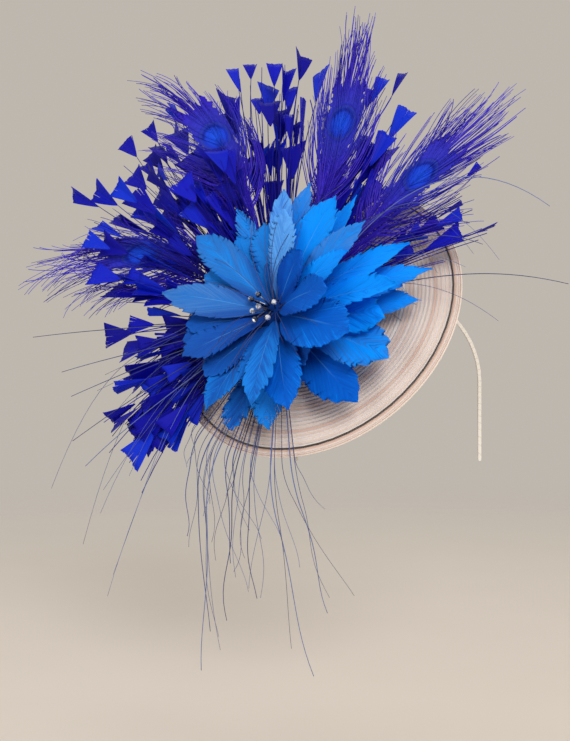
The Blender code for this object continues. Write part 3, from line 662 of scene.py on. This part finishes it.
# Arrow cut sprays
down = -discAxes[:, 2]
sideways = discAxes[:, 0]
arrow = {
    "length": 0.023, "width": 0.017, "wall": 0.0003, "bow": 0.03, "stem": 0.0010, "stemSteps": 14,
    "pitch": 0.0016, "rootDepth": 0.004, "rootWall": 0.001,
    "extra": 3.5, "turnStray": 2.6, "liftStray": 1.2, "sizeStray": 0.06, "frontDrop": 5,
    "sway": 0.018, "droopShorter": 0.30, "droopWider": 0.15, "overlap": 0.55, "roll": 0.7,
    "rows": 7, "columns": 23, "ragged": 0.025, "notch": 0.06, "cupped": 0.05, "folded": 0.18, "foldBy": 1.6,
    "herls": 34, "herlWidth": 0.0010, "herlSteps": 10, "herlLift": 0.03, "herlCurl": 0.03,
}
sprayManners = {  # share of extra feathers, whether they droop, share of herls, their stray, their sag
    "thin": (0.4, 0, 1, 0.05, 0.05), "upright": (1.0, 0, 1, 0.05, 0.05), "loose": (1.6, 1, 2, 0.12, 0.50),
}
sprayRows = {  # manner, layer, turn of the root, and each feather's turn, lift, reach and size
    "arrow_spray_right": ("thin", "behind", 32, (
        (22, 4, 0.172, 1.10), (29, 6, 0.150, 0.95), (34, 4, 0.155, 0.85), (38, 6, 0.182, 0.65),
    )),
    "arrow_spray_upper_right": ("upright", "behind", 68, (
        (63, 8, 0.125, 1.10), (66, 11, 0.158, 1.15), (68, 8, 0.188, 1.25), (70, 11, 0.213, 0.95),
        (73, 8, 0.113, 1.15), (75, 11, 0.206, 1.00), (78, 8, 0.202, 0.95), (82, 11, 0.185, 1.10),
    )),
    "arrow_spray_top": ("upright", "behind", 108, (
        (96, 12, 0.236, 1.25), (101, 9, 0.212, 1.05), (103, 12, 0.232, 1.00), (106, 9, 0.222, 1.15),
        (108, 12, 0.245, 0.80), (112, 9, 0.258, 1.20), (115, 12, 0.223, 1.30),
    )),
    "arrow_spray_upper_left": ("upright", "front", 128, (
        (119, 21, 0.150, 1.15), (123, 18, 0.158, 1.30), (127, 21, 0.112, 1.15), (131, 18, 0.132, 1.25),
        (135, 21, 0.144, 1.25), (139, 18, 0.180, 1.20),
    )),
    "arrow_spray_upper_left_back": ("upright", "behind", 143, (
        (126, 11, 0.246, 1.10), (130, 8, 0.236, 1.15), (133, 11, 0.246, 1.00), (136, 8, 0.228, 1.20),
        (139, 11, 0.250, 0.95), (143, 8, 0.226, 1.20),
    )),
    "arrow_spray_left": ("upright", "front", 166, (
        (149, 21, 0.184, 1.20), (152, 18, 0.205, 1.25), (156, 21, 0.212, 1.05), (161, 18, 0.182, 1.20),
        (167, 21, 0.178, 1.20), (172, 18, 0.128, 1.15), (176, 21, 0.155, 1.25),
    )),
    "arrow_spray_lower_left": ("loose", "behind", 189, (
        (182, 11, 0.104, 1.05), (186, 8, 0.128, 1.15), (191, 11, 0.142, 1.10), (197, 8, 0.113, 1.10),
    )),
    "arrow_spray_low": ("loose", "behind", 219, (
        (209, 11, 0.119, 1.15), (213, 8, 0.133, 1.10), (217, 11, 0.090, 1.00), (221, 8, 0.150, 1.25),
        (227, 11, 0.109, 1.10),
    )),
}


def combRoots(layer, centre, count):
    # Where each finger leaves its bound root, side by side along the hub's foot.
    inner = hub["radius"] + seatGap
    angle = radians(centre) + arrow["pitch"] / inner * (np.arange(count) - (count - 1) / 2)
    outer = inner + arrow["rootDepth"]
    height = np.full(count, layerHeight[layer])
    return np.stack((outer * np.cos(angle), outer * np.sin(angle), height), axis=-1)


def direction(turned, lift):
    # The unit vector at a turn round the flower and a lift off the disc.
    return np.stack((np.cos(lift) * np.cos(turned), np.cos(lift) * np.sin(turned), np.sin(lift)), axis=-1)


def fans(base, way, side, normal, length, width, random):
    # A flat wedge: w runs from its point to its cut end, t across. Its half width grows as w to the
    # power 0.9, its cut end is notched and ragged, and both halves fold up from the quill.
    count, rows, columns = len(base), arrow["rows"], arrow["columns"]
    single = (count, 1, 1, 1)
    w = np.linspace(0, 1, rows)[None, :, None, None]
    t = np.linspace(-1, 1, columns)[None, None, :, None]
    full = length[:, None, None, None]
    ragged = 1 - arrow["ragged"] * np.cumsum(random.normal(0, 0.5, (count, 1, columns, 1)), axis=2)
    notch = random.uniform(-arrow["notch"], arrow["notch"], single)
    ahead = full * w * (1 - notch * (1 - np.abs(t))) * (1 - w ** 6 * (1 - ragged))
    out = width[:, None, None, None] / 2 * (0.06 + 0.94 * w ** 0.9) * t
    fold = random.uniform(0.02, 0.35, single) + arrow["foldBy"] * (random.random(single) < arrow["folded"])
    up = np.abs(out) * fold + arrow["cupped"] * full * w ** 2 * random.uniform(-1, 1, single)
    squeeze = 1 / np.sqrt(1 + fold ** 2)
    way, side, normal = way[:, None, None], side[:, None, None], normal[:, None, None]
    grid = base[:, None, None] + way * ahead + side * out * squeeze + normal * up * squeeze
    shape = (count, rows, columns)
    uv = np.stack((np.broadcast_to(t[..., 0], shape), np.broadcast_to(w[..., 0], shape)), axis=-1)
    smoothGrid = grid - way * ahead + way * full * w
    return sheets(onFlower(grid), arrow["wall"], uv, random.uniform(0.25, 1.0, count), onFlower(smoothGrid))


def rootBlock(layer, centre, count):
    # The bound root: a thin block from the hub's foot to where the fingers leave.
    outer = combRoots(layer, centre, count)
    foot = hub["radius"] + seatGap
    inner = outer * ((foot + 0.0002) / (foot + arrow["rootDepth"]))
    inner[:, 2] = layerHeight[layer]
    block = np.stack((inner, outer + (outer - inner) * 0.3), axis=0)[None]
    return sheets(onFlower(block), arrow["rootWall"], np.zeros(block.shape[:3] + (2,)), [0.0])


def sprayHerls(manner, roots, turned, lift, reach, random):
    # Single herls between the cut feathers: straight ways with a bow, a curl aside and a sag.
    herlShare, stray, sag = manner[2:]
    count = arrow["herls"] * herlShare
    own = random.integers(0, len(roots), count)
    turned = turned[own] + random.normal(0, stray, count)
    way = direction(turned, lift[own] + random.normal(0, arrow["herlLift"], count))
    share = np.linspace(0, 1, arrow["herlSteps"])[None, :, None]
    full = (reach[own] * random.uniform(0.45, 0.98, count))[:, None, None]
    paths = roots[own][:, None] + way[:, None] * share * full
    paths[..., 2] += (arrow["bow"] * full * 4 * share * (1 - share))[..., 0]
    curl = np.cross((0.0, 0.0, 1.0), way)[:, None] * random.normal(0, arrow["herlCurl"], (count, 1, 1))
    paths = paths + (curl + down * random.uniform(0.0, sag, (count, 1, 1))) * full * share ** 2
    thin = arrow["herlWidth"] * np.linspace(1.1, 0.5, arrow["herlSteps"])[None] + np.zeros((count, 1))
    return paths, thin


def spray(number, manner, layer, centre, rows):
    # Each finger runs straight from its root to its tip, with a bow of 4 * share * (1 - share), a
    # sideways sway of half a sine and a fall that grows with the square of the share. A cut wedge
    # sits on its end. Extra fingers stray from the row's own and are shorter.
    random = np.random.default_rng(700 + number)
    table = np.array(rows)
    more = int(len(rows) * arrow["extra"] * manner[0])
    pick = random.integers(0, len(rows), more)
    strays = (arrow["turnStray"], arrow["liftStray"], 0.0, arrow["sizeStray"])
    extra = table[pick] + random.normal(0, 1, (more, 4)) * strays
    extra[:, 2] *= 0.48 + 0.50 * random.random(more) ** 0.7
    extra[:, 1] -= arrow["frontDrop"] if layer == "front" else 0
    extra[:, 3] *= random.uniform(0.90, 1.30, more)
    table = np.concatenate((table, extra))
    ownRoots = combRoots(layer, centre, len(rows))
    roots = np.concatenate((ownRoots, ownRoots[pick]))
    turned, lift, reach, size = np.radians(table[:, 0]), np.radians(table[:, 1]), table[:, 2], table[:, 3]
    tip = direction(turned, lift) * reach[:, None] + direction(turned, 0 * lift) * hub["radius"]
    tip[:, 2] += layerHeight[layer]
    drooping = (np.arange(len(table)) >= len(rows)) * manner[1]
    droop = random.uniform(0.15, 0.75, len(table)) * drooping
    reach = reach * (1 - arrow["droopShorter"] * droop)
    span = tip - roots
    length = arrow["length"] * size * random.uniform(0.9, 1.2, len(table))
    flare = 1 - length / np.linalg.norm(span, axis=1)
    share = np.linspace(0, 1, arrow["stemSteps"])[None, :, None]
    share = share * (flare + arrow["overlap"] * (1 - flare))[:, None, None]
    bow = np.zeros(share.shape[:2] + (3,))
    bow[..., 2] = arrow["bow"] * reach[:, None] * 4 * share[..., 0] * (1 - share[..., 0])
    sway = random.normal(0, arrow["sway"], (len(table), 1, 1))
    sway = np.cross((0.0, 0.0, 1.0), unit(span))[:, None] * sway * reach[:, None, None]
    fall = down * (droop * reach)[:, None]
    paths = roots[:, None] + span[:, None] * share + bow
    paths = paths + sway * np.sin(pi * share) + fall[:, None] * share ** 2
    stem = arrow["stem"] * np.linspace(1.1, 0.45, arrow["stemSteps"])[None] + np.zeros((len(table), 1))
    end = flare[:, None]
    slope = arrow["bow"] * reach * 4 * (1 - 2 * flare)
    way = unit(span + np.stack((0 * slope, 0 * slope, slope), axis=-1) + 2 * fall * end)
    base = roots + span * end + fall * end ** 2 + sway[:, 0] * np.sin(pi * flare)[:, None]
    base[:, 2] += arrow["bow"] * reach * 4 * flare * (1 - flare)
    side = unit(np.cross((0.0, 0.0, 1.0), way))
    roll = random.normal(0, arrow["roll"], len(table))[:, None]
    normal = np.cross(way, side)
    side, normal = side * np.cos(roll) + normal * np.sin(roll), normal * np.cos(roll) - side * np.sin(roll)
    wide = arrow["width"] * size * (1 + arrow["droopWider"] * drooping)
    wide = wide * random.uniform(0.85, 1.3, len(table))
    herlPaths, thin = sprayHerls(manner, ownRoots, turned, lift, reach, random)
    return joined([
        rootBlock(layer, centre, len(rows)),
        strips(onFlower(paths), stem, stem * 0.8, random.uniform(0.0, 0.3, len(table)), None, outward),
        strips(onFlower(herlPaths), thin, thin * 0.6, random.uniform(0.1, 0.6, len(thin)), None, outward),
        fans(base, way, side, normal, length, wide, random),
    ])


coque = Finish("ultramarineCoque", Roughness=0.55, Specular_IOR_Level=0.12)
fanAcross, fanAlong = coque.lie()
lightness = coque.tone()
barbLine = coque.noise(coque.vector(fanAcross * 26, fanAlong * 1.2, lightness * 23), 1.0, 2.0)
coqueColour = coque.ramp(lightness * 0.75 + barbLine * 0.4 - 0.12, (
    (0.00, (0.001, 0.001, 0.060)), (0.35, (0.003, 0.002, 0.270)),
    (0.65, (0.004, 0.006, 0.460)), (1.00, (0.001, 0.050, 0.720)),
))
coqueColour = coque.mix((barbLine - 0.45) * 0.8, coqueColour, (0.002, 0.001, 0.07))
split = coque.noise(coque.vector(fanAcross * 11, fanAlong * 0.5, lightness * 37), 1.0, 2.0)
split = (split + fanAlong * 0.30).rise(0.93, 0.945)
coqueMaterial = coque.finishWith(Base_Color=coqueColour, Alpha=1 - split, bump=barbLine, distance=0.0003)

for number, (name, (manner, *row)) in enumerate(sprayRows.items()):
    plumes = spray(number, sprayManners[manner], *row)
    addPiece(name.replace("spray", "plumes"), plumes, coqueMaterial, [name])
print("arrow sprays done")


# Bare strands
strand = {
    "width": 0.0006, "length": 0.200, "steps": 26, "thinner": 0.6, "waver": 0.006,
    "archCopies": 3, "copyWaver": 0.080, "curl": 1.0, "copyLength": (0.45, 0.95),
    "strays": (3.0, 1.2, 0.0, 0.02, 0.02),
    "hangCopies": 3, "lean": -3.5, "knee": 0.15, "rimClearance": 0.003, "hangLength": (0.35, 1.0),
    "turnStray": 3.0, "slantStray": 0.20, "wave": 0.0045, "depthWave": 0.004,
}
archingRows = {  # layer, turn of the root, looseness of the copies, each one's turn, lift, reach, droop, arch
    "right_strands": ("middle", 14, 0.15, (
        (16, 4, 1.11, 0.22, 0.03), (25, 9, 0.83, 0.13, 0.10), (27, 7, 1.11, 0.14, 0.25),
    )),
    "left_strands": ("front", 208, 1.0, (
        (190, 18, 0.98, 0.06, 0.00), (201, 16, 0.84, 0.06, 0.00), (208, 16, 0.80, 0.08, 0.00),
        (222, 16, 0.83, 0.10, 0.00), (232, 15, 0.83, 0.10, 0.00),
    )),
}
hangingRows = ("middle", 268, (  # layer, turn of the root, and each one's turn, length and slant
    (244, 0.44, -0.10), (251, 0.78, 0.05), (257, 0.90, 0.00), (262, 0.46, 0.12), (267, 0.66, -0.05),
    (273, 0.56, 0.02), (281, 0.86, 0.25), (289, 0.62, 0.30),
))


def withCopies(rows, copies):
    # Each row once and then its copies: the row numbers, and which are the rows themselves.
    pick = np.repeat(np.arange(len(rows)), 1 + copies)
    return pick, np.arange(len(pick)) % (1 + copies) == 0


def strandBars(paths, first, tipShare, random):
    # Square bars along the strands' paths, tapered to the tip, the copies thinner.
    taper = np.linspace(1.2, tipShare, paths.shape[1])[None]
    width = strand["width"] * taper * np.where(first, 1.0, strand["thinner"])[:, None]
    return strips(onFlower(paths), width, width, random.random(len(paths)), None, outward)


def archingStrands(number, layer, centre, loose, rows):
    # root + way * reach * t + down * (droop * t squared - 4 * arch * t * (1 - t)), with copies
    # that stray from their row, waver and curl down at the end.
    random = np.random.default_rng(900 + number)
    pick, first = withCopies(rows, strand["archCopies"])
    copied = np.where(first, 0.0, 1.0)
    table = np.array(rows)[pick] + copied[:, None] * random.normal(0, 1, (len(pick), 5)) * strand["strays"]
    table[:, 2] *= np.where(first, 1.0, random.uniform(*strand["copyLength"], len(pick)))
    root = combRoots(layer, centre, len(rows))[pick]
    way = direction(np.radians(table[:, 0]), np.radians(table[:, 1]))
    t = np.linspace(0, 1, strand["steps"])[None, :, None]
    full = strand["length"] * table[:, 2, None, None]
    drop = table[:, 3, None, None] * t ** 2 - 4 * table[:, 4, None, None] * t * (1 - t)
    drop = down * strand["length"] * drop
    waver = np.where(first, strand["waver"], strand["copyWaver"] * loose)[:, None, None]
    waver = waver * random.normal(0, 1, (len(pick), 1, 1))
    waver = waver * np.sin(random.uniform(2.5, 7, (len(pick), 1, 1)) * t) * t
    aside = np.cross((0.0, 0.0, 1.0), way)[:, None]
    curl = strand["curl"] * loose * random.random((len(pick), 1, 1)) * copied[:, None, None] * t ** 3
    paths = root[:, None] + way[:, None] * full * t + drop + aside * full * waver + down * full * curl
    return strandBars(paths, first, 0.55, random)


def hangingStrands():
    # Along the disc to past its rim, round a bend, then down with a slow sideways wave.
    random = np.random.default_rng(950)
    layer, centre, rows = hangingRows
    pick, first = withCopies(rows, strand["hangCopies"])
    table = np.array(rows)[pick]
    table[:, 0] += np.where(first, 0.0, random.normal(0, strand["turnStray"], len(pick)))
    table[:, 1] *= np.where(first, 1.0, random.uniform(*strand["hangLength"], len(pick)))
    table[:, 2] += np.where(first, 0.0, random.normal(0, strand["slantStray"], len(pick)))
    root = combRoots(layer, centre, len(rows))[pick]
    way = direction(np.radians(table[:, 0]), np.full(len(pick), radians(strand["lean"])))
    x, y = root[:, 0] + hub["x"], root[:, 1] + hub["y"]
    edge = disc["radius"] + strand["rimClearance"]
    along = x * way[:, 0] + y * way[:, 1]
    flat = way[:, 0] ** 2 + way[:, 1] ** 2
    over = (-along + np.sqrt(along ** 2 - flat * (x ** 2 + y ** 2 - edge ** 2))) / flat
    fall = unit(down + sideways * table[:, 2:3])
    hung = strand["length"] * table[:, 1:2]
    rim = root + way * over[:, None]
    knee = rim + way * hung * strand["knee"]
    below = knee + fall * hung * strand["knee"]
    foot = below + fall * hung * (1 - 2 * strand["knee"])
    straight = np.linspace(0, 1, 8)[None, :, None]
    t = np.linspace(0, 1, 9)[None, :, None]
    bend = rim[:, None] * (1 - t) ** 2 + knee[:, None] * 2 * t * (1 - t) + below[:, None] * t ** 2
    s = np.linspace(0, 1, 14)[None, :, None]
    single = (len(pick), 1, 1)
    phase = random.uniform(2, 6, single) * s + random.uniform(0, 6, single)
    wave = sideways * strand["wave"] * np.sin(phase) * s
    depthWave = discAxes[:, 1] * strand["depthWave"] * np.sin(3 * s + random.uniform(0, 6, single)) * s
    drop = below[:, None] + (foot - below)[:, None] * s + wave + depthWave
    start = root[:, None] + (rim - root)[:, None] * straight
    return strandBars(np.concatenate((start[:, :-1], bend[:, :-1], drop), axis=1), first, 0.6, random)


hair = {
    "count": 26, "width": 0.0004, "steps": 20, "sunk": 0.002,
    "lift": (30, 42), "reach": (0.05, 0.105), "curl": 0.22, "sag": 0.30,
}


def flowerHairs():
    # Thin hairs that leave the throat, rise over the petals and curl back down at the end.
    random = np.random.default_rng(970)
    count = hair["count"]
    turned = random.uniform(0, 2 * pi, count)
    lift = np.radians(random.uniform(*hair["lift"], count))
    reach = random.uniform(*hair["reach"], count)
    t = np.linspace(0, 1, hair["steps"])[None, :, None]
    way = direction(turned, lift)
    root = direction(turned, 0 * lift) * (hub["top"] * 0.7)
    root = root + (0.0, 0.0, seatGap + hub["pad"] + hub["cone"] - hair["sunk"])
    side = np.stack((-np.sin(turned), np.cos(turned), 0 * turned), axis=-1)[:, None]
    full = reach[:, None, None]
    curl = side * random.normal(0, hair["curl"], (count, 1, 1)) * full * t ** 2
    sag = np.array((0.0, 0.0, -1.0)) * hair["sag"] * full * t ** 2.5
    paths = root[:, None] + way[:, None] * full * t + curl + sag
    width = hair["width"] * np.linspace(1.1, 0.6, hair["steps"])[None] + np.zeros((count, 1))
    return strips(onFlower(paths), width, width, random.random(count) * 0.4, None, outward)


herl = Finish("fineHerl", Roughness=0.5, Specular_IOR_Level=0.4)
lightness = herl.tone()
herlTone, herlAlong = herl.lie()
mottle = herl.noise(herl.vector(herlTone * 40, herlAlong * 30), 1.0, 2.0)
herlColour = herl.ramp(lightness * 0.8 + mottle * 0.3, (
    (0.0, (0.018, 0.018, 0.070)), (0.5, (0.048, 0.070, 0.230)), (1.0, (0.120, 0.170, 0.400)),
))
herlMaterial = herl.finishWith(Base_Color=herlColour, bump=mottle, distance=0.0001)

for number, (name, row) in enumerate(archingRows.items()):
    strands = archingStrands(number, *row)
    addPiece(name.replace("strands", "herls"), strands, herlMaterial, [name])
addPiece("hanging_herls", hangingStrands(), herlMaterial, ["hanging_strands"])
addPiece("flower_hairs", flowerHairs(), herlMaterial, [])
print("strands done")


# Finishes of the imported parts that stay
def satinFinish():
    # Ribbon wound round the band: the turn round it, in wraps, and a lap at each wrap's edge.
    satin = Finish("ivorySatin", Roughness=0.34, Specular_IOR_Level=0.5, Sheen_Weight=0.1)
    where = satin.place()
    x, y, z = [satin.add("ShaderNodeSeparateXYZ", None, {0: where}, axis) for axis in "XYZ"]
    aroundBand = (z + band["innerRadius"]).math("ARCTAN2", x)
    wraps = aroundBand * (band["innerRadius"] / band["wrapPitch"]) + y * 90
    lap = wraps.math("FRACT")
    grain = satin.noise(where, 1400.0, 2.0)
    # Painted shade: each wrap's lapping edge is darker.
    colour = satin.mix(lap.rise(0.86, 0.98) * 0.5, (0.72, 0.68, 0.62), (0.42, 0.37, 0.32))
    colour = satin.mix(grain * 0.25, colour, (0.82, 0.79, 0.75))
    relief = lap + grain * 0.3
    return satin.finishWith(Base_Color=colour, bump=relief, distance=0.0003, Roughness=grain * 0.2 + 0.26)


def wireFinish():
    # Dark wire with a fine grain.
    wire = Finish("darkWire", Roughness=0.4, Metallic=0.6)
    grain = wire.noise(wire.place(), 900.0, 2.0)
    colour = wire.mix(grain, (0.05, 0.045, 0.045), (0.16, 0.13, 0.12))
    return wire.finishWith(Base_Color=colour, bump=grain, distance=0.0001)


def feltFinish():
    # Matt blue felt.
    felt = Finish("blueFelt", Roughness=0.9, Specular_IOR_Level=0.1)
    grain = felt.noise(felt.place(), 1500.0, 4.0)
    colour = felt.mix(grain, (0.000, 0.012, 0.10), (0.002, 0.035, 0.22))
    return felt.finishWith(Base_Color=colour, bump=grain, distance=0.0003)


def cupFinish():
    # Dark silver, blotched and more rough where it is lighter.
    cup = Finish("silverCup", Metallic=1.0, Roughness=0.3)
    grain = cup.noise(cup.place(), 1200.0, 2.0)
    colour = cup.mix(grain, (0.06, 0.06, 0.07), (0.24, 0.25, 0.28))
    return cup.finishWith(Base_Color=colour, Roughness=grain * 0.25 + 0.18)


def stoneFinish():
    # Each patch stands for a facet, and its colour is a painted reflection of something bright or something
    # dark.
    stone = Finish("clearStone", Metallic=0.55, Coat_Weight=1.0, Coat_Roughness=0.02)
    facet = stone.add("ShaderNodeTexVoronoi", None, {"Vector": stone.place(), "Scale": 640.0}, "Color")
    facetGlint = stone.add("ShaderNodeSeparateXYZ", None, {0: facet}, "X")
    colour = stone.ramp(facetGlint, (
        (0.0, (0.05, 0.06, 0.09)), (0.3, (0.35, 0.40, 0.50)),
        (0.55, (0.80, 0.84, 0.90)), (0.8, (1.0, 1.0, 1.0)),
    ))
    return stone.finishWith(Base_Color=colour, Roughness=facetGlint * 0.15 + 0.03)


def repaint(material, *names):
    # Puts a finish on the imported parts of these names.
    for name in names:
        for materialSlot in nodes[name].material_slots:
            materialSlot.material = material


repaint(satinFinish(), "headband")
repaint(wireFinish(), "rim_wire")
repaint(feltFinish(), "flower_hub")
repaint(cupFinish(), *[f"stamen_{n}" for n in range(1, 8)])
repaint(stoneFinish(), *[f"stone_{n}" for n in range(1, 8)])
print("finishes done")


# Floor, light and camera
studio = {
    "floorHeight": -0.345, "floorRadius": 2.4, "floorFade": (0.35, 2.2),
    "backdrop": (0.86, 0.79, 0.71), "backdropStrength": 0.60,
    "cameraPlace": (-0.083739, -0.95, -0.0638205), "tangentPerPixel": 0.000855789, "imageHeight": 741,
    "lightTarget": (-0.08, 0.0, 0.0),
}
lights = {  # place, size, power and colour
    "key": ((0.5, -2.6, 1.4), 1.6, 62.0, (1.0, 0.98, 0.95)),
    "fill": ((-2.4, -1.6, 0.2), 2.0, 22.0, (0.98, 0.98, 1.0)),
    "top": ((-0.3, 1.0, 2.2), 1.6, 14.0, (1.0, 1.0, 1.0)),
}


def addFloor():
    # A round pale floor that fades out towards its edge.
    corners = 96
    angle = np.linspace(0, 2 * pi, corners, endpoint=False)
    ring = np.stack((np.cos(angle), np.sin(angle), 0 * angle), axis=-1) * studio["floorRadius"]
    mesh = bpy.data.meshes.new("floor")
    mesh.from_pydata((ring + (0, 0, studio["floorHeight"])).tolist(), [], [list(range(corners))])
    floor = Finish("paleFloor", Roughness=0.7)
    grain = floor.noise(floor.place(), 6.0, 3.0)
    away = floor.add("ShaderNodeVectorMath", {"operation": "LENGTH"}, {0: floor.place()}, "Value")
    colour = floor.mix(grain, (0.66, 0.61, 0.55), (0.70, 0.65, 0.59))
    mesh.materials.append(floor.finishWith(Base_Color=colour, Alpha=1 - away.rise(*studio["floorFade"])))
    obj = bpy.data.objects.new("floor", mesh)
    bpy.context.scene.collection.objects.link(obj)


def addLight(name, place, size, power, colour):
    # A round soft light that faces the target.
    data = bpy.data.lights.new(name, "AREA")
    data.shape = "DISK"
    data.size = size
    data.energy = power
    data.color = colour
    obj = bpy.data.objects.new(name, data)
    bpy.context.scene.collection.objects.link(obj)
    obj.location = place
    aim = Vector(studio["lightTarget"]) - Vector(place)
    obj.rotation_euler = aim.to_track_quat("-Z", "Y").to_euler()


addFloor()
for name, light in lights.items():
    addLight(name, *light)
world = bpy.data.worlds.new("studio")
bpy.context.scene.world = world
world.use_nodes = True
background = world.node_tree.nodes["Background"]
background.inputs["Color"].default_value = (*studio["backdrop"], 1.0)
background.inputs["Strength"].default_value = studio["backdropStrength"]
bpy.context.scene.view_settings.view_transform = "Standard"

cameraData = bpy.data.cameras.new("camera")
cameraData.sensor_fit = "VERTICAL"
cameraData.angle = 2 * atan(studio["imageHeight"] / 2 * studio["tangentPerPixel"])
camera = bpy.data.objects.new("camera", cameraData)
bpy.context.scene.collection.objects.link(camera)
camera.location = studio["cameraPlace"]
camera.rotation_euler = (pi / 2, 0.0, 0.0)
bpy.context.scene.camera = camera

print("studio done")
